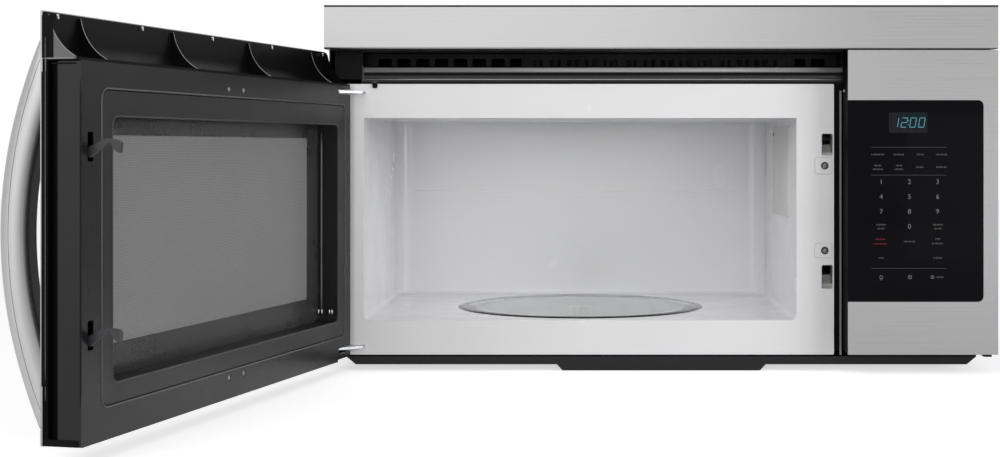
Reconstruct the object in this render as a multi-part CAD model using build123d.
from build123d import *
import os
from math import sqrt

# Over the range microwave oven, door standing open.
# Row frame, millimetres: +Z up, +X to the right of a person who faces the oven, the front
# faces -Y.  The origin is the middle of the flat face that meets the wall.

# ---------------------------------------------------------------- body shell
body_width = 759.0
body_depth = 405.0
body_top = 205.0            # top face above the middle of the wall face
cover_bottom = -190.0       # lower edge of the side walls
sheet = 1.0                 # steel sheet of cover, pan and band
rear_sheet = 1.2
seat_gap = 0.3              # clearance between pieces of different bodies
slip = 0.2                  # clearance between loose pieces of one body
flange_setback = 38.5       # cavity flange behind the front plane
band_height = 49.3
band_gap = 1.3
band_edge_radius = 2.0

# ---------------------------------------------------------------- cavity
cavity_width = 497.2
cavity_height = 232.5
cavity_rear_gap = 21.5      # air space between the oven and the wall face
cavity_middle_x = -91.2
cavity_floor = -153.9
cavity_sheet = 1.0
cavity_back_radius = 20.0
cavity_floor_radius = 6.0
flange_top = 117.6
flange_bottom = -193.3
flange_corner = 1.2
flange_pad = 0.5            # raised pads round the flange screws
flange_pad_size = 18.0
port_length = 110.0
port_height = 65.0
port_cover_depth = 186.5    # middle of the waveguide cover behind the front plane
port_cover_length = 153.0
port_cover_height = 109.0
port_middle_z = 15.5
port_cover_sheet = 1.2

# ---------------------------------------------------------------- turntable
tray_margin = 23.7          # tray edge to the back of the oven
tray_rim_height = 5.4
tray_glass = 4.2
well_clearance = 4.0
well_depth = 17.0
well_rim = 6.0
roller_radius = 6.3
roller_width = 5.0
roller_track = 109.0
roller_pin = 1.5
roller_count = 3
ring_inner = 97.0
ring_outer = 103.5
coupler_radius = 15.0
coupler_lobes = 3
shaft_radius = 3.0
running_gap = 0.05
motor_radius = 25.0
motor_height = 15.0

# ---------------------------------------------------------------- door
panel_width = 169.2
door_side_gap = 0.8
door_top_gap = 0.2          # door top below the control panel's top
door_height = 349.4
door_thickness = 35.8
skin = 1.0
skin_return = 6.5
door_return = 1.8           # fold at the edge of the door's stainless face
carrier_lip = 6.6           # back of the carrier's lip behind the face
carrier_recess = 5.0        # carrier's end behind the lip, in from the free end
notch_front = 8.0
hinge_inset_x = 12.0
hinge_inset_y = 22.0
open_angle = 103.4
inner_end_inset = 7.9       # inner frame starts this far from the hinge end
inner_free_inset = 0.8
inner_height = 309.3
inner_front = 15.0          # front edge of the inner frame behind the door's face
groove = 1.2
choke_margin = 34.0         # groove round the choke cover, from the free end
choke_width = 529.8
choke_bottom = -166.7
choke_top = 91.2
choke_radius = 9.0
window_margin = 50.0
window_width = 494.0
window_bottom = -150.0
window_top = 70.2
window_radius = 8.0
screen_depth = 9.6          # steel screen behind the door's face
screen_sheet = 0.6
screen_margin = 86.0
screen_width = 429.0
screen_bottom = -122.0
screen_top = 54.0
comb_tooth = 14.0
comb_slot = 4.0
glass_margin_x = 60.0
glass_margin_z = 40.0
glass_thickness = 3.6
carrier_back = 9.6          # back face of the black plastic carrier

# air deflector on top of the door
deflector_wall = 2.4
deflector_depth = 33.0
rib_thickness = 2.0
rib_spacing = 162.4
rib_first = 50.0
rib_count = 4
rib_radius = 46.0
deflector_fillet = 12.0

# handle
handle_free_inset = 18.0
handle_width = 22.0
handle_rise = 48.6
handle_thickness = 18.8
handle_radius = 335.0
handle_half = 152.0
handle_middle = -37.0
handle_edge = 5.0
handle_screw = 2.5

# latch
hook_inset = 15.0           # hook's middle plane from the free end
hook_thickness = 4.0
hook_upper = 44.0
hook_spacing = 152.0
catch_gap = 1.3             # catch rib below the nose
hook_nose = 3.9             # nose below the hook's own level
slot_width = 9.0
slot_below = 11.0
slot_above = 13.0
flange_slot_left = 8.2      # slot edges to either side of the hook's plane
flange_slot_right = 4.5
flange_slots = ((35.5, 60.5), (-117.5, -90.5))
receiver_depth = 34.0       # tube behind each flange slot
receiver_below = 10.0
receiver_above = 22.0
receiver_left = 12.0
receiver_right = 9.0
receiver_wall = 2.0
receiver_boss = 5.0
receiver_pilot = 1.8
receiver_ramp = 14.0
receiver_ramp_run = 5.0
bar_depth = 14.0
bar_front = 18.0

# hinges
hinge_plate = 2.5
hinge_upper = 106.6         # underside of the upper plate
hinge_lower = -184.7        # underside of the lower plate
hinge_round = 11.0
hinge_pin = 3.0
hinge_reach_x = 29.0
hinge_leg = 2.0
hinge_leg_height = 23.0
pin_head = 1.2
bush_collar = 1.5

# ---------------------------------------------------------------- controls
panel_height = 343.1
panel_glass_width = 152.4
panel_glass_top = 56.7      # glass below the panel's top edge
panel_glass_height = 226.6
panel_glass_radius = 6.0
panel_glass_thick = 2.4
housing_wall = 2.0
display_x = 278.1
display_z = 72.7
display_width = 44.0
display_height = 25.0
bead_inset = 4.0            # light bead down the strip between the oven's flange and the housing
bead_width = 2.6
bead_depth = 1.9
bead_top = 110.7

# ---------------------------------------------------------------- bottom pan
pan_bottom = -204.5
pan_step = 7.0
pan_front_high = -195.3     # upper edge of the pan's front wall, below the flange
pan_lip = 8.0
pan_middle_x = 2.0
pan_inset = 17.5            # pan wall inside the body's side
pan_slant = 11.0
pan_chamfer = 9.0
deep_half = 113.5
deep_slope = 6.5
filter_width = 200.0
filter_depth = 130.0
filter_height = 8.0
filter_offset_x = 235.0
filter_setback = 255.0      # middle of the filters behind the front plane
filter_clearance = 0.4
filter_frame = 7.0
lens_width = 120.0
lens_depth = 40.0
lens_thick = 2.0
lens_setback = 80.0

# ---------------------------------------------------------------- air and power
blower_y = -78.0
blower_z = 140.0
scroll_radius = 56.0
scroll_width = 70.0
scroll_sheet = 1.0
impeller_radius = 44.0
impeller_inner = 36.0
impeller_width = 58.0
blade_count = 24
blower_motor_radius = 38.0
blower_motor_half = 40.0
blower_shaft = 4.0
outlet_width = 254.0
outlet_depth = 82.6
cord_hole = 9.0
bolt_hole = 3.3
bolt_spacing = 596.0
bolt_setback = 85.0

# ---------------------------------------------------------------- worked out
half_w = body_width / 2
pan_half_top = half_w - pan_inset
pan_half_bottom = pan_half_top - pan_slant
front = -body_depth
flange_y = front + flange_setback
filter_middle_y = front + filter_setback
lens_y = front + lens_setback
bolt_y = front + bolt_setback
band_bottom = body_top - band_height
panel_top = band_bottom - band_gap
panel_left = half_w - panel_width
panel_bottom = panel_top - panel_height
door_right = panel_left - door_side_gap
door_left = -half_w
door_top = panel_top - door_top_gap
door_bottom = door_top - door_height
cavity_left = cavity_middle_x - cavity_width / 2
cavity_right = cavity_middle_x + cavity_width / 2
cavity_depth = body_depth - flange_setback - cavity_rear_gap
tray_radius = cavity_depth / 2 - tray_margin
cavity_top = cavity_floor + cavity_height
cavity_back = flange_y + cavity_depth
tray_y = flange_y + cavity_depth / 2
flange_left = -half_w + sheet + slip
column_gap = 9.9
flange_right = panel_left - column_gap
hinge_x = door_left + hinge_inset_x
hinge_y = front + hinge_inset_y
inner_left = door_left + inner_end_inset
inner_right = door_right - inner_free_inset
inner_bottom = door_bottom
inner_top = inner_bottom + inner_height
inner_back = front + door_thickness
hook_x = door_right - hook_inset
well_radius = tray_radius + well_clearance
well_floor = cavity_floor - well_depth
axle_z = well_floor + roller_radius
track_z = well_floor + 2 * roller_radius
handle_x = door_right - handle_free_inset - handle_width / 2
outlet_y0 = blower_y - scroll_radius + scroll_sheet
grommet_x = half_w - 79.5
grommet_y = -60.0
grommet_groove = cord_hole + 3.0
grommet_lip = 5.0
side_vent_y = front + 105.0
side_vent_pitch = 14.0
side_vent_z = -80.0
side_vent_rows = 2
side_vent_count = 6
side_vent_rise = 28.0
side_vent_width = 6.0
side_vent_height = 20.0
hook_slot_x = 200.0
hook_slot_z = -165.0
hook_slot_length = 30.0
hook_slot_height = 6.0
outlet_blank_z = 105.0
vent_left = -342.7
peg_inset = 13.2
peg_width = 5.3
peg_drop = 4.4
vent_back = front + 109.0
vent_wall = 1.5
vent_screen_y = front + 73.0
louvre_front = front + deflector_depth + 1.2
louvre_bar_low = 126.8
louvre_bar_high = 137.8
flange_screw_z = (23.8, -73.6)
flange_screw_x = hook_x - 4.7
guide_width = 40.0
guide_length = 140.0
guide_height = 95.0
guide_sheet = 1.2
antenna_hole = 16.0
bush_radius = 6.0
bush_length = 10.0
window_glass_left = door_left + glass_margin_x
window_glass_right = door_right - 95.0
window_glass_bottom = door_bottom + glass_margin_z
window_glass_top = inner_top - 22.0
handle_screw_z = handle_half - 14.0
door_slots_low = (hook_upper - slot_below, hook_upper - hook_spacing - slot_below)
low_step = 2.5
low_step_length = 37.0
door_screw_x = (door_right - 301.0, door_right - 268.6)
door_screw_z = (choke_bottom - 8.6, choke_top + 8.8)
bar_low = hook_upper - hook_spacing - 18.0
bar_high = hook_upper + 22.0
guide_block = 16.0
guide_gap = 0.25
panel_glass_right = panel_left + panel_glass_width
panel_glass_high = panel_top - panel_glass_top
panel_glass_low = panel_glass_high - panel_glass_height
board_x0, board_x1 = panel_left + 11.7, half_w - 11.5
board_z0, board_z1 = -150.0, 112.0
board_y = front + 13.0
fan_x = half_w - 91.5
fan_z = -30.0
fan_plate_y = -66.0
fan_radius = 44.0
fan_blades = 5
floor_z = cover_bottom + 2 * sheet


# ---------------------------------------------------------------- helpers
def span(x0, x1, y0, y1, z0, z1):
    """Block between two limits on each axis."""
    middle = Pos((x0 + x1) / 2, (y0 + y1) / 2, (z0 + z1) / 2)
    return middle * Box(x1 - x0, y1 - y0, z1 - z0)


def rect(a0, a1, b0, b1, radius=0.0):
    """Flat rectangle between limits, with round corners where a radius is given."""
    place = Pos((a0 + a1) / 2, (b0 + b1) / 2)
    if radius > 0:
        return place * RectangleRounded(a1 - a0, b1 - b0, radius)
    return place * Rectangle(a1 - a0, b1 - b0)


def along_y(sketch, y0, y1):
    """Extrude a sketch drawn in X and Z from y0 back to y1."""
    placed = Plane((0, y1, 0), (1, 0, 0), (0, -1, 0)) * sketch
    return extrude(placed, amount=y1 - y0, dir=(0, -1, 0))


def along_x(sketch, x0, x1):
    """Extrude a sketch drawn in Y and Z from x0 to x1."""
    placed = Plane((x0, 0, 0), (0, 1, 0), (1, 0, 0)) * sketch
    return extrude(placed, amount=x1 - x0, dir=(1, 0, 0))


def along_z(sketch, z0, z1):
    """Extrude a sketch drawn in X and Y from z0 up to z1."""
    return extrude(Plane.XY.offset(z0) * sketch, amount=z1 - z0, dir=(0, 0, 1))


def rod_x(x0, x1, y, z, radius):
    return along_x(Pos(y, z) * Circle(radius), x0, x1)


def rod_y(y0, y1, x, z, radius):
    return along_y(Pos(x, z) * Circle(radius), y0, y1)


def rod_z(z0, z1, x, y, radius):
    return along_z(Pos(x, y) * Circle(radius), z0, z1)


def opened(shape):
    """Swing a piece drawn on the closed door to where the door stands open."""
    return Pos(hinge_x, hinge_y, 0) * Rot(0, 0, -open_angle) * Pos(-hinge_x, -hinge_y, 0) * shape


def group(shapes):
    """Several separate solids that share one node."""
    return Compound(children=[solid for shape in shapes for solid in shape.solids()])


# ---------------------------------------------------------------- casing
def make_outer_cover():
    """Painted sheets: the left side, the top between the sides, and the vented right side."""
    outline = rect(-half_w, half_w, cover_bottom, body_top)
    hollow = rect(-half_w + sheet, half_w - sheet, cover_bottom - sheet, body_top - sheet)
    cover = along_y(outline - hollow, flange_y, -rear_sheet)
    for x in (-bolt_spacing / 2, bolt_spacing / 2):
        cover -= rod_z(body_top - 2 * sheet, body_top + sheet, x, bolt_y, bolt_hole)
    outlet = rect(-outlet_width / 2, outlet_width / 2, outlet_y0, outlet_y0 + outlet_depth, 4)
    cover -= along_z(outlet, body_top - 2 * sheet, body_top + sheet)
    cover -= rod_z(body_top - 2 * sheet, body_top + sheet, grommet_x, grommet_y, grommet_groove)
    for row in range(side_vent_rows):
        for slot in range(side_vent_count):
            y = side_vent_y + slot * side_vent_pitch
            z = side_vent_z + row * side_vent_rise
            vent = rect(y, y + side_vent_width, z, z + side_vent_height, side_vent_width / 2 - 0.1)
            cover -= along_x(vent, half_w - 2 * sheet, half_w + sheet)
    seams = (-half_w, -half_w + sheet, half_w - sheet, half_w)
    sheets = []
    for left, right in zip(seams, seams[1:]):
        sheets.append(cover & span(left, right, front, 0, cover_bottom, body_top))
    return group(sheets)


def make_rear_panel():
    """Flat back that meets the wall, with two hook slots and a pressed blank for a rear outlet."""
    edge = sheet + slip
    panel = along_y(rect(-half_w + edge, half_w - edge, cover_bottom, body_top - edge), -rear_sheet, 0)
    half = hook_slot_length / 2
    for x in (-hook_slot_x, hook_slot_x):
        slot = rect(x - half, x + half, hook_slot_z, hook_slot_z + hook_slot_height, 2.5)
        panel -= along_y(slot, -3 * rear_sheet, rear_sheet)
    blank = rect(-outlet_width / 2, outlet_width / 2, outlet_blank_z, outlet_blank_z + outlet_depth, 4)
    inner = rect(-outlet_width / 2 + 2, outlet_width / 2 - 2, outlet_blank_z + 2,
                 outlet_blank_z + outlet_depth - 2, 3)
    panel -= along_y(blank - inner, -rear_sheet / 2, rear_sheet)
    return panel


def pan_outline(inset):
    """Section of the bottom pan across its width, drawn inwards by the inset."""
    top = cover_bottom + sheet
    low = pan_bottom + inset
    deep = pan_bottom - pan_step + inset
    side = pan_half_top - inset
    flat = pan_half_bottom - inset * 0.6
    shoulder = pan_bottom + pan_chamfer + inset * 0.4
    slope = deep_half + deep_slope
    right = [(side, top), (side, shoulder), (flat, low), (slope - inset * 0.4, low),
             (deep_half - inset * 0.4, deep)]
    points = [(pan_middle_x + x, z) for x, z in right]
    points += [(pan_middle_x - x, z) for x, z in reversed(right)]
    return Polygon(*points, align=None)


def make_base_plate():
    """Pan with chamfered sides and a deeper middle, open to the two filters and the lamp."""
    top = cover_bottom + sheet
    pan = along_y(pan_outline(0), flange_y, -rear_sheet)
    pan -= along_y(pan_outline(sheet), flange_y + sheet, -rear_sheet - sheet)
    pan -= span(-half_w, half_w, flange_y - 1, flange_y + sheet + slip, pan_front_high, top + 1)
    rim = span(-half_w + sheet + slip, half_w - sheet - slip, flange_y + sheet + slip,
               -rear_sheet - slip, cover_bottom, top)
    rim -= along_y(rect(pan_middle_x - pan_half_top, pan_middle_x + pan_half_top,
                        cover_bottom - sheet, top + sheet), flange_y - 1, 0)
    pan += rim
    lip = span(pan_middle_x - pan_half_top + 2, pan_middle_x + pan_half_top - 2, flange_y,
               flange_y + pan_lip, pan_front_high - sheet, pan_front_high)
    pan += lip
    for x in (-filter_offset_x, filter_offset_x):
        hole_w = filter_width / 2 + filter_clearance
        hole_d = filter_depth / 2 + filter_clearance
        collar = span(x - hole_w - sheet, x + hole_w + sheet, filter_middle_y - hole_d - sheet,
                      filter_middle_y + hole_d + sheet, pan_bottom, pan_bottom + filter_height)
        pan += collar
        pan -= span(x - hole_w, x + hole_w, filter_middle_y - hole_d, filter_middle_y + hole_d,
                    pan_bottom - sheet, pan_bottom + filter_height + sheet)
    lens_hole = rect(pan_middle_x - lens_width / 2 + 4, pan_middle_x + lens_width / 2 - 4,
                     lens_y - lens_depth / 2 + 4, lens_y + lens_depth / 2 - 4, 5)
    pan -= along_z(lens_hole, pan_bottom - pan_step - sheet, pan_bottom - pan_step + 2 * sheet)
    return pan


def make_compartment_floor():
    """Sheet that carries the heavy electrical pieces above the air space in the pan."""
    low = cover_bottom + sheet
    plate = span(cavity_right + cavity_sheet + 4, half_w - sheet - slip, flange_y + 6,
                 -rear_sheet - slip, low, low + sheet)
    wall = span(cavity_right + cavity_sheet + 4, cavity_right + 2 * cavity_sheet + 4, flange_y + 6,
                -rear_sheet - slip, low, low + 15)
    return plate + wall


def make_top_band():
    """Full-width stainless strip above the door, folded back on all four sides."""
    strip = span(-half_w, half_w, front, flange_y, band_bottom, body_top)
    strip = fillet(strip.edges().filter_by(Axis.X).sort_by(Axis.Y)[:2], band_edge_radius)
    return strip - span(-half_w + sheet, half_w - sheet, front + sheet, flange_y + sheet,
                        band_bottom + sheet, body_top - sheet)


def make_vent_housing():
    """Black trough behind the louvre, with a slotted wall and room for the charcoal filter."""
    x0, x1 = vent_left, panel_left - slip
    z0, z1 = flange_top + slip, band_bottom - slip
    trough = span(x0, x1, flange_y + slip, vent_back, z0, z1)
    trough -= span(x0 + vent_wall, x1 - vent_wall, flange_y - 1, vent_screen_y,
                   z0 + vent_wall, z1 - vent_wall)
    trough -= span(x0 + vent_wall, x1 - vent_wall, vent_screen_y + vent_wall, vent_back + 1,
                   z0 + vent_wall, z1 - vent_wall)
    pitch = 22.0
    count = int((x1 - x0 - 20) // pitch)
    start = (x0 + x1) / 2 - (count - 1) * pitch / 2
    for i in range(count):
        x = start + i * pitch
        trough -= along_y(rect(x - 8, x + 8, z0 + 7, z1 - 7, 3), vent_screen_y - 1,
                          vent_screen_y + vent_wall + 1)
    return trough


def make_vent_louvre():
    """Rounded bar and sloping ledge across the air outlet, on end brackets."""
    x0, x1 = vent_left + 3.0, panel_left - slip
    y0, y1 = louvre_front, flange_y
    middle = (louvre_bar_low + louvre_bar_high) / 2
    round_half = (louvre_bar_high - louvre_bar_low) / 2
    bar = Pos(y0 + round_half, middle) * Circle(round_half)
    bar += rect(y0 + round_half, y1 + 6, louvre_bar_low, louvre_bar_high)
    low = flange_top + 2.6
    ledge = Polygon((y0 + 2.0, louvre_bar_low + 0.5), (y1 + 6, louvre_bar_low + 0.5), (y1 + 6, low),
                    (y1 - 0.8, low), align=None)
    louvre = along_x(bar + ledge, x0, x1)
    louvre -= span(x1 - vent_wall, x1 + 1, y1, y1 + 7, low - 1, louvre_bar_high + 1)
    louvre += span(vent_left + vent_wall, x0, y1 + slip, y1 + 6, low, louvre_bar_high)
    peg_x = vent_left + peg_inset
    return louvre + span(peg_x, peg_x + peg_width, y1 - 2, y1, flange_top - peg_drop, low + 0.5)


def make_hinge_filler():
    """Black block that closes the corner above the upper hinge."""
    x0, x1 = -half_w + 6.9, vent_left - slip
    z0, z1 = flange_top + 4.8, band_bottom - slip
    block = span(x0, x1, flange_y - 1.0, flange_y + 30, z0, z1)
    block = fillet(block.edges().filter_by(Axis.X).sort_by(Axis.Y)[:2], 0.8)
    return block - span(x0 + 2, x1 - 2, flange_y + 2, flange_y + 31, z0 + 2, z1 - 2)


# ---------------------------------------------------------------- oven cavity
def cavity_form(grow):
    """Inside of the oven, or with a growth its outside: round back corners and floor edges."""
    form = span(cavity_left - grow, cavity_right + grow, flange_y, cavity_back + grow,
                cavity_floor - grow, cavity_top + grow)
    upright = form.edges().filter_by(Axis.Z).sort_by(Axis.Y)[-2:]
    form = fillet(upright, cavity_back_radius + grow)
    ground = form.faces().sort_by(Axis.Z)[0].edges()
    ground = [edge for edge in ground if edge.center().Y > flange_y + 0.1]
    return fillet(ground, cavity_floor_radius + grow)


def make_oven_front_frame():
    """Enamelled front of the oven: opening, slots for hooks and hinges, pads for screws."""
    frame = along_y(rect(flange_left, flange_right, flange_bottom, flange_top, flange_corner),
                    flange_y, flange_y + cavity_sheet)
    frame -= along_y(rect(cavity_left, cavity_right, cavity_floor + cavity_floor_radius + 1, cavity_top),
                     flange_y - 1, flange_y + 2)
    frame -= along_y(rect(cavity_left, cavity_right, cavity_floor, cavity_top - 1, cavity_floor_radius),
                     flange_y - 1, flange_y + 2)
    pad = flange_pad_size / 2
    for z in flange_screw_z:
        raised = rect(flange_screw_x - pad, flange_screw_x + pad, z - pad, z + pad, 3)
        frame += along_y(raised, flange_y - flange_pad, flange_y)
        frame -= rod_y(flange_y - 2, flange_y + 2, flange_screw_x, z, 2.2)
    for low, high in flange_slots:
        slot = rect(hook_x - flange_slot_left, hook_x + flange_slot_right, low, high, 2)
        frame -= along_y(slot, flange_y - 1, flange_y + 2)
    for low in (hinge_upper, hinge_lower):
        slot = rect(hinge_x - hinge_round - 1.5, hinge_x + hinge_reach_x + 0.3, low - 0.3,
                    low + hinge_plate + 0.3)
        frame -= along_y(slot, flange_y - 1, flange_y + 2)
    return frame


def make_oven_liner():
    """Enamelled sheets of the oven: floor, ceiling, two sides, the back and its round corners."""
    shell = cavity_form(cavity_sheet) - cavity_form(0)
    shell -= span(cavity_left - 5, cavity_right + 5, flange_y - 1, flange_y + cavity_sheet,
                  cavity_floor - 5, cavity_top + 5)
    shell -= rod_z(cavity_floor - 2, cavity_floor + 1, cavity_middle_x, tray_y, well_radius)
    port_y = front + port_cover_depth
    port = rect(port_y - port_length / 2, port_y + port_length / 2, port_middle_z - port_height / 2,
                port_middle_z + port_height / 2, 4)
    shell -= along_x(port, cavity_right - 1, cavity_right + cavity_sheet + 1)
    edge = 2 * cavity_sheet
    left, right, back = cavity_left - edge, cavity_right + edge, cavity_back + edge
    wall_foot = cavity_floor + cavity_floor_radius
    bend_left, bend_right = cavity_left + cavity_back_radius, cavity_right - cavity_back_radius
    bend_y = cavity_back - cavity_back_radius
    sheets = [shell & span(left, right, flange_y, back, cavity_floor - edge, wall_foot),
              shell & span(left, right, flange_y, back, cavity_top, cavity_top + edge)]
    for low_x, high_x, low_y, high_y in ((left, bend_left, flange_y, bend_y),
                                         (left, bend_left, bend_y, back),
                                         (bend_left, bend_right, bend_y, back),
                                         (bend_right, right, bend_y, back),
                                         (bend_right, right, flange_y, bend_y)):
        sheets.append(shell & span(low_x, high_x, low_y, high_y, wall_foot, cavity_top))
    return group(sheets)


def make_turntable_well():
    """Round dish under the floor that the roller ring runs in."""
    high = cavity_floor - cavity_sheet
    dish = rod_z(well_floor - cavity_sheet, high, cavity_middle_x, tray_y, well_radius + cavity_sheet)
    dish += rod_z(high - cavity_sheet, high, cavity_middle_x, tray_y, well_radius + well_rim)
    dish -= rod_z(well_floor, high + 1, cavity_middle_x, tray_y, well_radius)
    return dish - rod_z(well_floor - 2, well_floor + 1, cavity_middle_x, tray_y, shaft_radius + 1.5)


def make_waveguide_cover():
    """Thin insulating plate over the feed port, with two tabs on its rear edge."""
    y = front + port_cover_depth
    half = port_cover_length / 2
    tall = port_cover_height / 2
    plate = rect(y - half, y + half, port_middle_z - tall, port_middle_z + tall, 4)
    for z in (port_middle_z - 28, port_middle_z + 28):
        plate += rect(y + half - 2, y + half + 5, z - 6, z + 6)
    return along_x(plate, cavity_right - port_cover_sheet, cavity_right)


def make_waveguide():
    """Short rectangular duct from the magnetron to the port, open towards the oven."""
    x0 = cavity_right + cavity_sheet
    y = front + port_cover_depth
    low = port_middle_z - guide_height / 2
    duct = span(x0, x0 + guide_width, y - guide_length / 2, y + guide_length / 2, low,
                low + guide_height)
    duct -= span(x0 - 1, x0 + guide_width - guide_sheet, y - guide_length / 2 + guide_sheet,
                 y + guide_length / 2 - guide_sheet, low + guide_sheet,
                 low + guide_height - guide_sheet)
    return duct - rod_x(x0 + guide_width - 3, x0 + guide_width + 1, y, port_middle_z, antenna_hole)


def make_magnetron():
    """Anode in a frame with cooling fins, its antenna reaching into the waveguide."""
    x0 = cavity_right + cavity_sheet + guide_width
    y = front + port_cover_depth
    z = port_middle_z
    tube = rod_x(x0 - 24, x0 + 72, y, z, 13) + rod_x(x0, x0 + 64, y, z, 20)
    for i in range(7):
        x = x0 + 12 + i * 7.5
        tube += span(x, x + 0.8, y - 38, y + 38, z - 34, z + 34)
    frame = span(x0, x0 + 68, y - 40, y + 40, z - 40, z + 40)
    frame -= span(x0 + 1.5, x0 + 66.5, y - 41, y + 41, z - 38.5, z + 38.5)
    box = span(x0 + 68, x0 + 96, y - 30, y + 30, z - 34, z + 34)
    plug = span(x0 + 80, x0 + 92, y - 42, y - 30, z - 10, z + 10)
    return tube + frame + box + plug


# ---------------------------------------------------------------- turntable
def make_glass_tray():
    """Glass plate turned from a profile, with a raised rim and three lobes under its middle."""
    low = track_z + running_gap
    rim = tray_radius
    profile = [(0, low), (rim - 18, low), (rim - 3, low + 2.2), (rim, low + tray_rim_height),
               (rim - 3.2, low + tray_rim_height + 0.6), (rim - 7, low + tray_glass + 0.3),
               (rim - 26, low + tray_glass), (0, low + tray_glass)]
    plate = Plane.XZ * Polygon(*profile, align=None)
    tray = Pos(cavity_middle_x, tray_y, 0) * revolve(plate, Axis.Z)
    lobes = []
    for i in range(coupler_lobes):
        angle = 360 / coupler_lobes * (i + 0.5)
        lug = Rot(0, 0, angle) * span(6, coupler_radius - 1, -4, 4, low - 4.5, low + 1)
        lobes.append(Pos(cavity_middle_x, tray_y, 0) * lug)
    for lug in lobes:
        tray += lug
    return tray


def make_turntable_coupler():
    """Moulded hub with three lobes on the motor's shaft."""
    low = well_floor + 0.6
    high = track_z + running_gap - seat_gap
    hub = Cylinder(8, high - low, align=(Align.CENTER, Align.CENTER, Align.MIN))
    for i in range(coupler_lobes):
        lobe = span(4, coupler_radius, -4.5, 4.5, 0, high - low)
        lobe = fillet(lobe.edges().filter_by(Axis.Z).sort_by(Axis.X)[-2:], 3)
        hub += Rot(0, 0, 360 / coupler_lobes * i) * lobe
    hub = Pos(cavity_middle_x, tray_y, low) * hub
    for i in range(coupler_lobes):
        angle = 360 / coupler_lobes * (i + 0.5)
        seat = Rot(0, 0, angle) * span(5.4, coupler_radius + 1, -4.6, 4.6, high - 4.6, high + 1)
        hub -= Pos(cavity_middle_x, tray_y, 0) * seat
    shaft_low = well_floor - cavity_sheet - 6
    return hub + rod_z(shaft_low, low + 1, cavity_middle_x, tray_y, shaft_radius)


def make_turntable_motor():
    """Flat synchronous motor under the well, with two ears and a bored nose."""
    top = well_floor - cavity_sheet
    case = rod_z(top - motor_height, top - 1, cavity_middle_x, tray_y, motor_radius)
    case = fillet(case.edges().group_by(Axis.Z)[0], 2)
    ears = along_z(rect(cavity_middle_x - 35, cavity_middle_x + 35, tray_y - 7, tray_y + 7, 6.5),
                   top - 1, top)
    plug = span(cavity_middle_x - 8, cavity_middle_x + 8, tray_y + motor_radius - 3,
                tray_y + motor_radius + 9, top - 12, top - 3)
    bore = rod_z(top - 7, top + 1, cavity_middle_x, tray_y, shaft_radius + running_gap)
    return case + ears + plug - bore


def make_roller_ring():
    """Ring that runs in the well, with a pin for each roller."""
    ring = rod_z(axle_z - 1.8, axle_z + 1.8, 0, 0, ring_outer)
    ring -= rod_z(axle_z - 3, axle_z + 3, 0, 0, ring_inner)
    for i in range(roller_count):
        end = roller_track + roller_width / 2 + 1.5
        pin = rod_x(ring_outer - 2, end, 0, axle_z, roller_pin)
        head = rod_x(end - 1.2, end, 0, axle_z, roller_pin + 0.9)
        boss = rod_x(ring_inner + 0.5, roller_track - roller_width / 2 - 0.3, 0, axle_z, 3.2)
        ring += Rot(0, 0, roller_angle(i)) * (pin + head + boss)
    return Pos(cavity_middle_x, tray_y, 0) * ring


def roller_angle(i):
    return 30 + i * 360 / roller_count


def make_roller(i):
    """Small wheel with a rounded tread."""
    low = roller_track - roller_width / 2
    wheel = rod_x(low, low + roller_width, 0, axle_z, roller_radius)
    wheel = fillet(wheel.edges(), 1.2)
    wheel -= rod_x(low - 1, low + roller_width + 1, 0, axle_z, roller_pin + running_gap)
    return Pos(cavity_middle_x, tray_y, 0) * Rot(0, 0, roller_angle(i)) * wheel


# ---------------------------------------------------------------- hinges
def hinge_plan():
    """Plate seen from above: round nose about the pin, widening to the flange."""
    nose = Pos(hinge_x, hinge_y) * Circle(hinge_round)
    corner = Pos(hinge_x + hinge_reach_x - 5, flange_y - 6) * Circle(5)
    foot = rect(hinge_x - hinge_round, hinge_x + hinge_reach_x, flange_y - 2, flange_y + 3)
    return make_hull(nose.edges() + corner.edges() + foot.edges())


def make_hinge(low, leg_up):
    """Plate through the flange with a leg bent flat against the flange's rear."""
    plate = along_z(hinge_plan(), low, low + hinge_plate)
    leg_y = flange_y + cavity_sheet
    x0, x1 = hinge_x - 5, cavity_left - cavity_sheet - seat_gap
    tall = hinge_leg_height
    z0, z1 = (low, low + tall) if leg_up else (low + hinge_plate - tall, low + hinge_plate)
    leg = span(x0, x1, leg_y, leg_y + hinge_leg, z0, z1)
    return plate + leg - rod_z(low - 1, low + hinge_plate + 1, hinge_x, hinge_y, hinge_pin + 0.02)


def make_hinge_pins():
    """Headed pins: the upper points down and the lower points up into the door's bushes."""
    upper = rod_z(hinge_upper - bush_length, hinge_upper + hinge_plate, hinge_x, hinge_y, hinge_pin)
    upper += rod_z(hinge_upper + hinge_plate, hinge_upper + hinge_plate + pin_head, hinge_x, hinge_y, 5)
    top = hinge_lower + hinge_plate
    lower = rod_z(hinge_lower, top + bush_length, hinge_x, hinge_y, hinge_pin)
    lower += rod_z(hinge_lower - pin_head, hinge_lower, hinge_x, hinge_y, 5)
    return group([upper, lower])


def make_hinge_bushes():
    """Flanged plastic bushes in the door that turn on the pins."""
    bushes = []
    for base, way in ((hinge_upper - seat_gap, -1), (hinge_lower + hinge_plate + seat_gap, 1)):
        ends = sorted((base, base + way * bush_length))
        collar = sorted((base, base + way * bush_collar))
        bush = rod_z(ends[0], ends[1], hinge_x, hinge_y, bush_radius)
        bush += rod_z(collar[0], collar[1], hinge_x, hinge_y, bush_radius + 2)
        bush -= rod_z(ends[0] - 1, ends[1] + 1, hinge_x, hinge_y, hinge_pin + running_gap)
        bushes.append(bush)
    return opened(group(bushes))


# ---------------------------------------------------------------- door
def door_y(depth):
    """Position behind the closed door's face."""
    return front + depth


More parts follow.
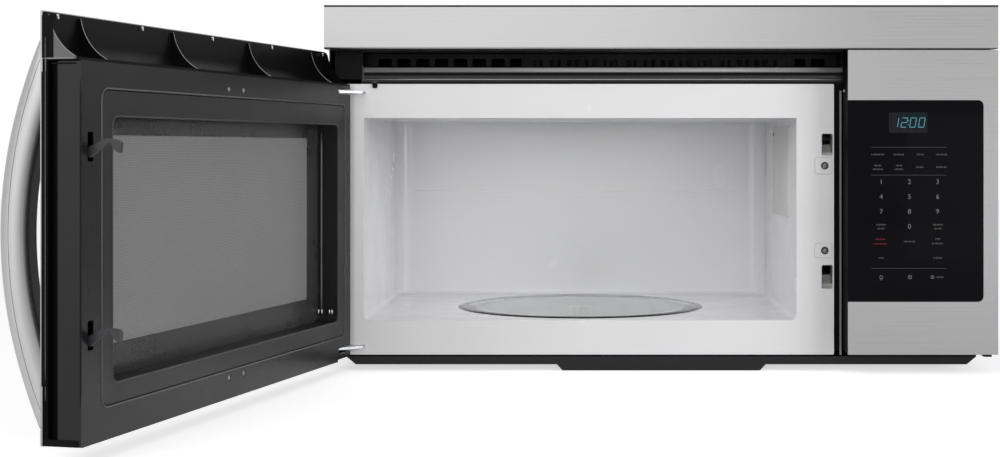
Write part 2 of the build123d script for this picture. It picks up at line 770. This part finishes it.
def hinge_notches():
    """Room in the hinge end of the door for the two plates over the whole swing."""
    clear = bush_collar + seat_gap
    notches = []
    for low in (hinge_upper, hinge_lower):
        notches.append(span(door_left - 1, hinge_x + hinge_reach_x + 2, door_y(notch_front),
                            door_y(door_thickness + 1), low - clear, low + hinge_plate + clear))
    return notches


def notched(shape):
    for notch in hinge_notches():
        shape -= notch
    return shape


def make_door_front_panel():
    """Brushed stainless face with a small fold at its four edges and an opening for the glass."""
    outer = rect(door_left, door_right, door_bottom, door_top, 1.5)
    inner = rect(door_left + skin, door_right - skin, door_bottom + skin, door_top - skin, 0.5)
    panel = along_y(outer, front, door_y(door_return))
    panel -= along_y(inner, door_y(skin), door_y(door_return + 1))
    opening = rect(window_glass_left - 0.3, window_glass_right + 0.3, window_glass_bottom - 0.3,
                   window_glass_top + 0.3, 6)
    panel -= along_y(opening, front - 1, door_y(skin + 1))
    for z in (handle_middle - handle_screw_z, handle_middle + handle_screw_z):
        panel -= rod_y(front - 1, door_y(skin + 1), handle_x, z, handle_screw + 0.3)
    return opened(panel)


def make_door_window_glass():
    """Dark glass let into the stainless face."""
    pane = rect(window_glass_left, window_glass_right, window_glass_bottom, window_glass_top, 5.7)
    pane = along_y(pane, door_y(0.1), door_y(glass_thickness))
    return opened(chamfer(pane.faces().sort_by(Axis.Y)[0].edges(), 0.6))


def screen_rect(grow, radius=0.0):
    """The perforated part of the door, seen from the front, drawn out by the growth."""
    right = door_right - screen_margin
    return rect(right - screen_width - grow, right + grow, screen_bottom - grow, screen_top + grow,
                radius)


def make_door_carrier():
    """Black plastic ring between the stainless face and the steel frame, ribbed at its back."""
    x0, x1 = door_left + skin + slip, door_right - skin - slip
    z0, z1 = door_bottom + skin + slip, inner_top - 0.4
    ring = along_y(rect(x0, x1, z0, z1, 1.2), door_y(skin), door_y(carrier_lip))
    lip = rect(door_left + slip, door_right - slip, door_bottom + slip, z1, 1.2)
    ring += along_y(lip, door_y(door_return + slip), door_y(carrier_lip))
    x1 -= carrier_recess
    ring += along_y(rect(x0, x1, z0, z1, 1.2), door_y(carrier_lip - 1), door_y(carrier_back))
    ring -= along_y(rect(window_glass_left - 0.3, window_glass_right + 0.3, window_glass_bottom - 0.3,
                         window_glass_top + 0.3, 6), door_y(skin - 1), door_y(glass_thickness))
    ring -= along_y(screen_rect(6, 8), door_y(0), door_y(carrier_back + 1))
    edge = rect(x0, x1, z0, z1, 1.2) - rect(x0 + inner_end_inset, x1 - 5, z0 + 5, z1 - 3)
    ring += along_y(edge, door_y(carrier_back), door_y(inner_front))
    pocket = 3.5
    frame = rect(x0 + 9, x1 - 9, z0 + 9, z1 - 9, 4) - screen_rect(18, 8)
    frame -= rect(handle_x - 14, handle_x + 14, z0, z1)
    ring -= along_y(frame, door_y(glass_thickness + pocket - 0.4), door_y(carrier_back + 1))
    for z in (handle_middle - handle_screw_z, handle_middle + handle_screw_z):
        ring -= rod_y(front, door_y(carrier_back + 7), handle_x, z, handle_screw + 0.3)
    return opened(notched(ring))


def choke_rect(grow, radius):
    """Outline of the choke cover in the door's inner face, drawn out by the growth."""
    right = door_right - choke_margin
    return rect(right - choke_width - grow, right + grow, choke_bottom - grow, choke_top + grow, radius)


def window_rect(grow, radius):
    """Outline of the sunk window in the door's inner face, drawn out by the growth."""
    right = door_right - window_margin
    return rect(right - window_width - grow, right + grow, window_bottom - grow, window_top + grow,
                radius)


def make_door_inner_frame():
    """Folded steel tray that faces the oven: side walls, face and lip round the choke."""
    outer = rect(inner_left, inner_right, inner_bottom, inner_top, 2)
    inner = rect(inner_left + skin, inner_right - skin, inner_bottom + skin, inner_top - skin, 1)
    tray = along_y(outer, door_y(inner_front), inner_back)
    tray -= along_y(inner, door_y(inner_front - 1), inner_back - skin)
    tray += along_y(choke_rect(groove + skin, choke_radius + groove + skin), inner_back - 8, inner_back)
    tray -= along_y(choke_rect(groove, choke_radius + groove), inner_back - 9, inner_back + 1)
    half = slot_width / 2
    for low in door_slots_low:
        slot = rect(hook_x - half, hook_x + half, low, low + slot_below + slot_above, 1.5)
        tray -= along_y(slot, inner_back - 3, inner_back + 1)
    tray -= span(inner_left - 1, inner_left + low_step_length, door_y(inner_front - 1), inner_back + 1,
                 inner_bottom - 1, inner_bottom + low_step)
    tray += span(inner_left + skin, inner_left + low_step_length, door_y(inner_front), inner_back,
                 inner_bottom + low_step, inner_bottom + low_step + skin)
    for x in door_screw_x:
        for z in door_screw_z:
            dish = Cone(2.4, 3.6, 0.8, align=(Align.CENTER, Align.CENTER, Align.MAX))
            dish = Pos(x, inner_back, z) * Rot(-90, 0, 0) * dish
            tray += along_y(Pos(x, z) * Circle(6.5), inner_back - 2.4, inner_back - skin)
            tray -= dish
            tray -= rod_y(inner_back - 5, inner_back, x, z, 1.9)
    tray = notched(tray)
    for base, way in ((hinge_upper - seat_gap, -1), (hinge_lower + hinge_plate + seat_gap, 1)):
        seat = base + way * bush_collar
        z0, z1 = sorted((seat, seat + way * hinge_plate))
        tray += span(inner_left, hinge_x + hinge_reach_x, door_y(inner_front), inner_back, z0, z1)
        z0, z1 = sorted((base, base + way * bush_length))
        tray -= rod_z(z0 - 1, z1 + 1, hinge_x, hinge_y, bush_radius + 0.02)
    return opened(tray)


def make_choke_frame():
    """Steel screen carrier with the comb of teeth that closes the choke channel."""
    wall_y = door_y(screen_depth)
    base = along_y(choke_rect(4, 6), wall_y, wall_y + skin)
    base -= along_y(screen_rect(1, 3), wall_y - 1, wall_y + 2)
    comb = along_y(choke_rect(-6, 5) - choke_rect(-7, 4), wall_y, inner_back - 6)
    right = door_right - choke_margin
    left = right - choke_width
    pitch = comb_tooth + comb_slot
    for i in range(int(choke_width // pitch) - 1):
        x = left + pitch * (i + 1)
        comb -= span(x, x + comb_slot, wall_y + 8, inner_back, choke_bottom - 9, choke_bottom + 12)
        comb -= span(x, x + comb_slot, wall_y + 8, inner_back, choke_top - 12, choke_top + 9)
    for i in range(int((choke_top - choke_bottom) // pitch) - 1):
        z = choke_bottom + pitch * (i + 1)
        comb -= span(left - 9, left + 12, wall_y + 8, inner_back, z, z + comb_slot)
        comb -= span(right - 12, right + 9, wall_y + 8, inner_back, z, z + comb_slot)
    return opened(base + comb)


def make_choke_cover():
    """Plastic ring over the choke, with walls down to the sunk window."""
    thick = 2.0
    ring = along_y(choke_rect(0, choke_radius) - window_rect(0, window_radius), inner_back - thick,
                   inner_back)
    wall = window_rect(thick, window_radius + thick) - window_rect(0, window_radius)
    ring += along_y(wall, door_y(screen_depth + skin), inner_back)
    return opened(fillet(ring.faces().sort_by(Axis.Y)[-1].inner_wires()[0].edges(), 0.9))


def make_mesh_screen():
    """Steel sheet that lets light through and keeps the microwaves in."""
    return opened(along_y(screen_rect(1 - slip, 2.8), door_y(screen_depth),
                          door_y(screen_depth + screen_sheet)))


def make_inner_window():
    """Clear pane over the screen on the oven side."""
    pane = window_rect(-slip, window_radius - slip)
    return opened(along_y(pane, door_y(screen_depth + skin), door_y(screen_depth + skin + 0.8)))


def make_air_deflector():
    """Scooped moulding along the door's top that turns the outgoing air, with curved ribs."""
    x0, x1 = door_left + skin + slip, door_right - skin - slip
    y0, y1 = door_y(skin), door_y(deflector_depth)
    z0, z1 = inner_top + slip, door_top - skin - slip
    wall = deflector_wall
    profile = rect(y0, y0 + wall + 1.2, z0, z1) + rect(y0, y1, z0, z0 + wall)
    corner_y = y0 + wall + 1.2 + deflector_fillet
    corner_z = z0 + wall + deflector_fillet
    web = rect(y0 + wall, corner_y, z0 + wall / 2, corner_z)
    web -= Pos(corner_y, corner_z) * Circle(deflector_fillet)
    scoop = along_x(profile + web, x0, x1)
    top = (y0 + wall + 3.4, z1 - 2.4)
    foot = (y1 - 2.0, z0 + wall)
    triangle = Polygon((y0 + wall, z0 + wall / 2), (y1 - 2.0, z0 + wall / 2), foot, top,
                       (y0 + wall, z1 - 2.4), align=None)
    chord = sqrt((foot[0] - top[0]) ** 2 + (foot[1] - top[1]) ** 2)
    rise = sqrt(rib_radius ** 2 - chord ** 2 / 4)
    middle = ((foot[0] + top[0]) / 2, (foot[1] + top[1]) / 2)
    centre = (middle[0] + (top[1] - foot[1]) / chord * rise, middle[1] + (foot[0] - top[0]) / chord * rise)
    rib = triangle - Pos(*centre) * Circle(rib_radius)
    places = [door_right - rib_first - i * rib_spacing - rib_thickness / 2 for i in range(rib_count)]
    places += [x1 - rib_thickness, x0 + 3.0]
    for x in places:
        scoop += along_x(rib, x, x + rib_thickness)
    for i in range(5):
        x = door_right - 21.0 - i * 139.0
        scoop -= span(x - 5, x + 5, y0 - 1, y0 + 2.0, z1 - 6, z1 + 1)
    return opened(notched(scoop))


def make_handle():
    """Bowed vertical bar whose two feet stand on the door's face."""
    rise = handle_rise
    reach = handle_half + 1
    bow = Pos(front + handle_radius - rise, handle_middle) * Circle(handle_radius)
    region = rect(front - rise - 1, front, handle_middle - handle_half, handle_middle + handle_half, 0)
    inner_radius = handle_radius - handle_thickness - 20
    gap = rise - handle_thickness
    hollow = Pos(front + inner_radius - gap, handle_middle) * Circle(inner_radius)
    side = handle_width / 2
    bar = along_x((bow & region) - hollow, handle_x - side, handle_x + side)
    free = [edge for edge in bar.edges() if edge.center().Y < front - 1.0]
    long_edges = [edge for edge in free if edge.length > reach]
    bar = fillet(long_edges, handle_edge)
    for z in (handle_middle - handle_screw_z, handle_middle + handle_screw_z):
        bar -= rod_y(front - 7, front + 1, handle_x, z, handle_screw + 0.02)
    return opened(bar)


# ---------------------------------------------------------------- latch
def hook_outline(base):
    """Side view of one hook: sloping shank, flat top and a nose that drops down."""
    b = base
    y = inner_back
    n = b - hook_nose
    return Polygon((y - 8, b - 7.5), (y + 0.5, b - 7.5), (y + 16.6, b + 4.3), (y + 18.5, b + 4.0),
                   (y + 21.0, n + 3.4), (y + 25.5, n), (y + 27.5, n), (y + 28.0, b + 4.5),
                   (y + 25.5, b + 6.7), (y + 14.0, b + 7.7), (y - 1.0, b + 0.7), (y - 8, b + 0.7),
                   align=None)


def make_latch_bar():
    """Upright bar inside the free end of the door with its two hooks."""
    back = door_y(bar_front + bar_depth)
    bar = rect(door_y(bar_front), back, bar_low, bar_high, 2)
    for base in (hook_upper, hook_upper - hook_spacing):
        bar += hook_outline(base)
        bar += rect(back - 4, inner_back - 7.5 + 4, base - 7.5, base + 0.7)
    half = hook_thickness / 2
    return opened(along_x(bar, hook_x - half, hook_x + half))


def make_latch_guides():
    """Two plastic guides on the steel frame that the latch bar slides in."""
    half = hook_thickness / 2 + guide_gap
    blocks = []
    for z in (-70.0, 5.0):
        block = span(hook_x - 6, hook_x + 6, door_y(inner_front), inner_back - skin, z, z + guide_block)
        block -= span(hook_x - half, hook_x + half, door_y(bar_front - guide_gap),
                      door_y(bar_front + bar_depth + guide_gap), z - 1, z + guide_block + 1)
        blocks.append(block)
    return opened(group(blocks))


def make_latch_spring():
    """Small tension spring beside the bar, drawn as its sleeve."""
    y = door_y(bar_front + bar_depth / 2)
    x = hook_x - hook_thickness / 2 - 3.0
    sleeve = rod_z(-53.4, 4.6, x, y, 2.6) - rod_z(-54, 5.2, x, y, 1.8)
    return opened(sleeve)


def make_latch_bracket():
    """Two plastic receivers behind the flange, open to front and rear, each with its catch rib."""
    y0 = flange_y + cavity_sheet
    y1 = y0 + receiver_depth
    x0, x1 = hook_x - receiver_left, hook_x + receiver_right
    rib_y = inner_back + 20
    receivers = []
    for base, screw_z in zip((hook_upper, hook_upper - hook_spacing), flange_screw_z):
        low, high = base - receiver_below, base + receiver_above
        block = span(x0, x1, y0, y1, low - receiver_wall, high + receiver_wall)
        block -= span(x0 + receiver_wall, x1 - receiver_wall, y0 - 1, y1 + 1, low, high)
        boss_z = sorted((screw_z, low if screw_z < base else high))
        reach = -receiver_boss if screw_z < base else receiver_boss
        boss_z[0 if screw_z < base else 1] += reach
        block += span(x0, x1, y0, y0 + 10, boss_z[0], boss_z[1])
        rib = base - hook_nose - catch_gap
        block += span(x0 + 1, x1 - 1, rib_y, rib_y + 3, low - 1, rib)
        ramp = Polygon((y1 - receiver_ramp_run, low - 0.5), (y1, low - 0.5), (y1, low + receiver_ramp),
                       align=None)
        block += along_x(ramp, x0 + 1, x1 - 1)
        receivers.append(block - rod_y(y0 - 1, y0 + 9, flange_screw_x, screw_z, receiver_pilot))
    return group(receivers)


def make_interlock_switches():
    """Three snap switches beside the hooks, each with its button."""
    switches = []
    x0 = hook_x + 9
    y0 = flange_y + cavity_sheet + 4
    lower = hook_upper - hook_spacing
    for z in (hook_upper, lower + 14.5, lower - 3.0):
        case = span(x0, x0 + 10, y0, y0 + 28, z - 8, z + 8)
        case += span(x0 + 2, x0 + 8, y0 + 28, y0 + 34, z - 5, z - 3.8)
        case += span(x0 + 2, x0 + 8, y0 + 28, y0 + 34, z + 3.8, z + 5)
        switches.append(case)
    return group(switches)


# ---------------------------------------------------------------- controls


def glass_outline(gap):
    """Touch glass seen from the front: square at the door side, round at the right."""
    side = rect(panel_left - 20, panel_glass_right + gap, panel_glass_low - gap, panel_glass_high + gap,
                panel_glass_radius + gap)
    return side & rect(panel_left, half_w, panel_bottom, panel_top)


def make_control_face():
    """Stainless face of the control panel with its folded edges."""
    face = along_y(rect(panel_left, half_w, panel_bottom, panel_top), front, front + skin)
    face -= along_y(glass_outline(0.3), front - 1, front + 2)
    folds = rect(panel_left, half_w, panel_bottom, panel_top)
    folds -= rect(panel_left - 1, half_w - skin, panel_bottom + skin, panel_top - skin)
    return face + along_y(folds, front, front + skin_return)


def make_control_glass():
    """Dark touch glass, flush with the stainless face."""
    return along_y(glass_outline(0), front, front + panel_glass_thick)


def make_control_housing():
    """Black moulded box behind the face and the glass, open to the rear."""
    x0, x1 = panel_left, half_w - skin
    z0, z1 = panel_bottom + skin, panel_top - skin
    box = span(x0, x1, front + skin, flange_y, z0, z1)
    box -= along_y(glass_outline(0.3), front, front + panel_glass_thick)
    wall = housing_wall
    box -= span(x0 + wall, x1 - wall, front + panel_glass_thick + wall, flange_y + 1, z0 + wall, z1 - wall)
    half_x, half_z = display_width / 2 + 0.3, display_height / 2 + 0.3
    box -= span(display_x - half_x, display_x + half_x, front, front + 10, display_z - half_z,
                display_z + half_z)
    for x in (board_x0 + 8, board_x1 - 8):
        for z in (board_z0 + 8, board_z1 - 8):
            box += rod_y(front + panel_glass_thick + wall, board_y, x, z, 3)
    foot = span(half_w - 15, half_w - 6.3, front + 4, front + 16, panel_bottom - 2.9, panel_bottom + wall)
    foot -= span(half_w - 16, half_w, front, front + skin_return + 0.2, panel_bottom, panel_bottom + skin)
    wing = span(flange_right + slip, x0 + wall, flange_y, flange_y + cavity_sheet, panel_bottom, flange_top)
    bead = span(x0 - bead_inset, x0 - bead_inset + bead_width, flange_y - bead_depth, flange_y,
                panel_bottom, bead_top)
    return box + foot + wing + bead


def make_display_module():
    """Display with its dark carrier, seated in the housing behind the glass."""
    half_x, half_z = display_width / 2, display_height / 2
    return span(display_x - half_x, display_x + half_x, front + panel_glass_thick, board_y,
                display_z - half_z, display_z + half_z)


def make_control_board():
    """Circuit board on four posts, with relays, a small transformer and a connector."""
    board = span(board_x0, board_x1, board_y, board_y + 1.6, board_z0, board_z1)
    back = board_y + 1.6
    for i in range(3):
        board += span(240 + i * 30, 260 + i * 30, back, back + 15, -120, -92)
    board += span(320, 355, back, back + 18, -50, -18)
    board += span(240, 300, back, back + 9, 20, 28)
    for i in range(4):
        board += rod_y(back, back + 12, 250 + i * 16, -60, 5)
    return board


# ---------------------------------------------------------------- filters and lamp
def make_grease_filter(x):
    """Framed aluminium mat with a pull tab, let up into the bottom pan."""
    w, d = filter_width / 2, filter_depth / 2
    low = pan_bottom
    frame = span(x - w, x + w, filter_middle_y - d, filter_middle_y + d, low, low + filter_height)
    inset = filter_frame
    frame -= span(x - w + inset, x + w - inset, filter_middle_y - d + inset, filter_middle_y + d - inset,
                  low - 1, low + 2.5)
    frame += along_z(rect(x - 10, x + 10, filter_middle_y - d + 2, filter_middle_y - d + 12, 3),
                     low - 4, low + 3)
    return frame


def make_charcoal_filter():
    """Pleated filter cassette in the trough behind the louvre."""
    low = flange_top + slip + vent_wall
    y0 = vent_screen_y + vent_wall + 1
    outer = span(-160, 160, y0, y0 + 26, low, low + 31)
    pitch = 10.0
    for i in range(29):
        x = -150 + i * pitch
        groove_cut = Polygon((x, y0 - 1), (x + pitch, y0 - 1), (x + pitch / 2, y0 + 8), align=None)
        outer -= along_z(groove_cut, low + 3, low + 28)
    return outer


def make_lamp_lens():
    """Glass over the cooktop lamp, laid in the deep part of the pan."""
    low = pan_bottom - pan_step + sheet
    outline = rect(pan_middle_x - lens_width / 2, pan_middle_x + lens_width / 2,
                   lens_y - lens_depth / 2, lens_y + lens_depth / 2, 5)
    return along_z(outline, low, low + lens_thick)


def make_task_lamps():
    """Two small bulbs in a shared holder above the lens."""
    low = pan_bottom - pan_step + sheet + lens_thick
    half = lens_width / 2 + 8
    tray = span(pan_middle_x - half, pan_middle_x + half, lens_y - 26, lens_y + 26, low - lens_thick,
                low + 11)
    tray -= span(pan_middle_x - half + 1.5, pan_middle_x + half - 1.5, lens_y - 24.5, lens_y + 24.5,
                 low - lens_thick - 1, low + 9.5)
    bulbs = []
    for side in (-1, 1):
        x = pan_middle_x + side * 40
        bulb = rod_x(x - 12, x + 12, lens_y, low + 4.6, 3.6)
        bulb += span(x - 12, x - 4, lens_y - 3.6, lens_y + 3.6, low + 4, low + 9.8)
        bulbs.append(bulb)
    for bulb in bulbs:
        tray += bulb
    return tray


def make_oven_lamp():
    """Bulb in a bracket on the cavity's right wall, behind its perforated corner."""
    x0 = cavity_right + cavity_sheet
    y, z = cavity_back - 38.0, 20.0
    bracket = span(x0, x0 + 1.2, y - 16, y + 16, z - 24, z + 24)
    bracket += span(x0, x0 + 30, y - 16, y - 14.8, z - 24, z + 24)
    socket = rod_y(y - 14.8, y - 4, x0 + 16, z, 9)
    bulb = Pos(x0 + 16, y + 4, z) * Sphere(10)
    return bracket + socket + bulb


# ---------------------------------------------------------------- blower
def scroll_outline(grow):
    """Section of one blower scroll: drum with a straight outlet up through the top."""
    drum = Pos(blower_y, blower_z) * Circle(scroll_radius + grow)
    left = outlet_y0 - scroll_sheet - grow
    right = outlet_y0 + outlet_depth + scroll_sheet + grow
    return drum + rect(left, right, blower_z, body_top - sheet - slip - grow * 0)


def make_blower_housing():
    """Two sheet scrolls with their inlet rings, standing on one base."""
    inner_top_z = body_top + 5
    half_gap = blower_motor_half + 6
    parts = []
    for side in (-1, 1):
        x0 = half_gap if side > 0 else -half_gap - scroll_width
        shell = along_x(scroll_outline(0), x0, x0 + scroll_width)
        hollow = Pos(blower_y, blower_z) * Circle(scroll_radius - scroll_sheet)
        hollow += rect(outlet_y0, outlet_y0 + outlet_depth, blower_z, inner_top_z)
        shell -= along_x(hollow, x0 + scroll_sheet, x0 + scroll_width - scroll_sheet)
        shell -= rod_x(x0 - 1, x0 + scroll_width + 1, blower_y, blower_z, impeller_inner)
        parts.append(shell)
    base_z = cavity_top + cavity_sheet
    outer = half_gap + scroll_width
    base = span(-outer, outer, blower_y - 40, blower_y + 40, base_z, base_z + scroll_sheet)
    housing = parts[0] + parts[1] + base
    for x in (-half_gap - 1, half_gap):
        cradle = span(x, x + 1, blower_y - 30, blower_y + 30, base_z, blower_z - impeller_inner - 3)
        housing += cradle
    for x in (-half_gap - scroll_width / 2, half_gap + scroll_width / 2):
        housing += span(x - 20, x + 20, blower_y - 6, blower_y + 6, base_z, blower_z - scroll_radius + 0.8)
    for y in (-1, 1):
        bar_y = blower_y + y * (blower_motor_radius + 2)
        housing += span(-half_gap - 1, half_gap + 1, bar_y - 2, bar_y + 2, blower_z - 10, blower_z + 10)
    return housing


def make_blower_motor():
    """Double-shaft motor between the scrolls, clamped by two bars."""
    half = blower_motor_half
    case = rod_x(-half, half, blower_y, blower_z, blower_motor_radius)
    case = fillet(case.edges(), 3)
    for x in (-half, half - 6):
        case += rod_x(x, x + 6, blower_y, blower_z, 12)
    for y in (-1, 1):
        bar_y = blower_y + y * blower_motor_radius
        case += span(-12, 12, min(bar_y, bar_y - y * 8), max(bar_y, bar_y - y * 8), blower_z - 8,
                     blower_z + 8)
    return case - rod_x(-half - 1, half + 1, blower_y, blower_z, blower_shaft + running_gap)


def make_blower_rotor():
    """Shaft with two forward-curved wheels: a middle disc, blades and two end rings each."""
    half_gap = blower_motor_half + 6
    middle = half_gap + scroll_width / 2
    end = middle + 6
    rotor = rod_x(-end, end, 0, 0, blower_shaft)
    for side in (-1, 1):
        x = side * middle
        half = impeller_width / 2
        rotor += rod_x(x - 1, x + 1, 0, 0, impeller_radius)
        rotor += rod_x(x - 5, x + 5, 0, 0, 8)
        for ring_x in (x - half, x + half - 2):
            rotor += rod_x(ring_x, ring_x + 2, 0, 0, impeller_radius) - rod_x(
                ring_x - 1, ring_x + 3, 0, 0, impeller_inner + 3)
        blade_shape = Pos(impeller_inner + 5, 0) * Rot(0, 0, 35) * Rectangle(9, 1.2)
        blade = along_x(blade_shape, x - half + 0.5, x + half - 0.5)
        for i in range(blade_count):
            rotor += Rot(360 / blade_count * i, 0, 0) * blade
    return Pos(0, blower_y, blower_z) * rotor


# ---------------------------------------------------------------- magnetron cooling


def make_fan_shroud():
    """Sheet across the rear of the control side with a round mouth for the fan."""
    outline = rect(cavity_right + 47.6, half_w - sheet - slip, fan_z - 80, fan_z + 90)
    plate = along_y(outline, fan_plate_y, fan_plate_y + 1.2)
    plate += rod_y(fan_plate_y, fan_plate_y + 14, fan_x, fan_z, fan_radius + 4.2)
    plate -= rod_y(fan_plate_y - 1, fan_plate_y + 15, fan_x, fan_z, fan_radius + 3)
    foot = cover_bottom + 2 * sheet
    for x in (cavity_right + 54.6, half_w - 30):
        plate += span(x, x + 12, fan_plate_y, fan_plate_y + 1.2, foot, fan_z - 78)
    return plate


def make_cooling_fan():
    """Five pitched blades on a hub and a thin shaft."""
    hub = rod_y(8, 20, 0, 0, 11)
    fan = hub + rod_y(20, 48, 0, 0, 2)
    for i in range(fan_blades):
        blade = Pos(fan_radius / 2 + 3, 14, 0) * Rot(32, 0, 0) * Box(fan_radius - 8, 1.4, 22)
        fan += Rot(0, 360 / fan_blades * i, 0) * blade
    return Pos(fan_x, fan_plate_y, fan_z) * fan


def make_fan_motor():
    """Shaded-pole motor on a spider that is fixed to the shroud."""
    y0 = fan_plate_y + 26
    core = span(fan_x - 26, fan_x + 26, y0, y0 + 18, fan_z - 30, fan_z + 26)
    core += span(fan_x - 14, fan_x + 14, y0 - 3, y0 + 24, fan_z - 44, fan_z - 22)
    core += rod_y(y0 - 4, y0 + 24, fan_x, fan_z, 9)
    for dx in (-1, 1):
        for dz in (-1, 1):
            x = fan_x + dx * (fan_radius + 8)
            z = fan_z + dz * 18
            low, high = sorted((fan_x + dx * 24, x + dx * 3))
            core += span(low, high, y0, y0 + 2, z - 3, z + 3)
            core += span(x - 3, x + 3, fan_plate_y + 1.2, y0 + 2, z - 3, z + 3)
    return core - rod_y(y0 - 10, y0 + 26, fan_x, fan_z, 2 + running_gap)


# ---------------------------------------------------------------- power pieces


def make_transformer():
    """Laminated core with two windings, standing on its feet."""
    x0, y0 = cavity_right + 74.6, front + 200.0
    core = span(x0, x0 + 94, y0, y0 + 62, floor_z + 2, floor_z + 80)
    core -= span(x0 + 16, x0 + 34, y0 - 1, y0 + 63, floor_z + 18, floor_z + 64)
    core -= span(x0 + 60, x0 + 78, y0 - 1, y0 + 63, floor_z + 18, floor_z + 64)
    coil = span(x0 + 17, x0 + 77, y0 - 14, y0 + 76, floor_z + 19, floor_z + 39)
    upper = span(x0 + 17, x0 + 77, y0 - 16, y0 + 78, floor_z + 42, floor_z + 63)
    feet = span(x0 - 8, x0 + 102, y0 + 4, y0 + 58, floor_z, floor_z + 2)
    windings = fillet(coil.edges().filter_by(Axis.Z), 8) + fillet(upper.edges().filter_by(Axis.Z), 8)
    return core + windings + feet


def make_capacitor():
    """Oval metal can with two tabs, held by a band."""
    can = along_z(rect(half_w - 79.5, half_w - 27.5, front + 67, front + 99, 15.5), floor_z, floor_z + 88)
    cap = rect(half_w - 80.7, half_w - 26.3, front + 65.8, front + 100.2, 16.5)
    can += along_z(cap, floor_z + 30, floor_z + 42)
    for x in (half_w - 63.5, half_w - 43.5):
        can += span(x - 3, x + 3, front + 82.6, front + 83.4, floor_z + 88, floor_z + 99)
    return can


def make_cord_grommet():
    """Rubber ring in the top that a supply cord passes through."""
    low, high = body_top - sheet, body_top
    ring = rod_z(low - grommet_lip, low, grommet_x, grommet_y, grommet_groove + grommet_lip)
    ring = fillet(ring.edges().group_by(Axis.Z)[0], 1.2)
    ring += rod_z(low - 1, high, grommet_x, grommet_y, grommet_groove - slip / 2)
    return ring - rod_z(low - 4, high + 3, grommet_x, grommet_y, cord_hole)


# ---------------------------------------------------------------- every node
parts = {
    "outer_cover": make_outer_cover(),
    "rear_panel": make_rear_panel(),
    "base_plate": make_base_plate(),
    "compartment_floor": make_compartment_floor(),
    "top_band": make_top_band(),
    "vent_housing": make_vent_housing(),
    "vent_louvre": make_vent_louvre(),
    "hinge_filler": make_hinge_filler(),
    "oven_front_frame": make_oven_front_frame(),
    "oven_liner": make_oven_liner(),
    "turntable_well": make_turntable_well(),
    "waveguide_cover": make_waveguide_cover(),
    "waveguide": make_waveguide(),
    "magnetron": make_magnetron(),
    "glass_tray": make_glass_tray(),
    "turntable_coupler": make_turntable_coupler(),
    "turntable_motor": make_turntable_motor(),
    "roller_ring": make_roller_ring(),
    "upper_hinge": make_hinge(hinge_upper, False),
    "lower_hinge": make_hinge(hinge_lower, True),
    "hinge_pins": make_hinge_pins(),
    "hinge_bushes": make_hinge_bushes(),
    "door_front_panel": make_door_front_panel(),
    "door_window_glass": make_door_window_glass(),
    "door_carrier": make_door_carrier(),
    "door_inner_frame": make_door_inner_frame(),
    "choke_frame": make_choke_frame(),
    "choke_cover": make_choke_cover(),
    "mesh_screen": make_mesh_screen(),
    "inner_window": make_inner_window(),
    "air_deflector": make_air_deflector(),
    "door_handle": make_handle(),
    "latch_bar": make_latch_bar(),
    "latch_guides": make_latch_guides(),
    "latch_spring": make_latch_spring(),
    "latch_bracket": make_latch_bracket(),
    "interlock_switches": make_interlock_switches(),
    "control_face": make_control_face(),
    "control_glass": make_control_glass(),
    "control_housing": make_control_housing(),
    "display_module": make_display_module(),
    "control_board": make_control_board(),
    "grease_filter_left": make_grease_filter(-filter_offset_x),
    "grease_filter_right": make_grease_filter(filter_offset_x),
    "charcoal_filter": make_charcoal_filter(),
    "lamp_lens": make_lamp_lens(),
    "task_lamps": make_task_lamps(),
    "oven_lamp": make_oven_lamp(),
    "blower_housing": make_blower_housing(),
    "blower_motor": make_blower_motor(),
    "blower_rotor": make_blower_rotor(),
    "fan_shroud": make_fan_shroud(),
    "cooling_fan": make_cooling_fan(),
    "fan_motor": make_fan_motor(),
    "transformer": make_transformer(),
    "capacitor": make_capacitor(),
    "cord_grommet": make_cord_grommet(),
}
for i in range(roller_count):
    parts[f"tray_roller_{i + 1}"] = make_roller(i)

os.makedirs("parts", exist_ok=True)
for name, shape in parts.items():
    export_step(shape, f"parts/{name}.step")
print(len(parts), "nodes")
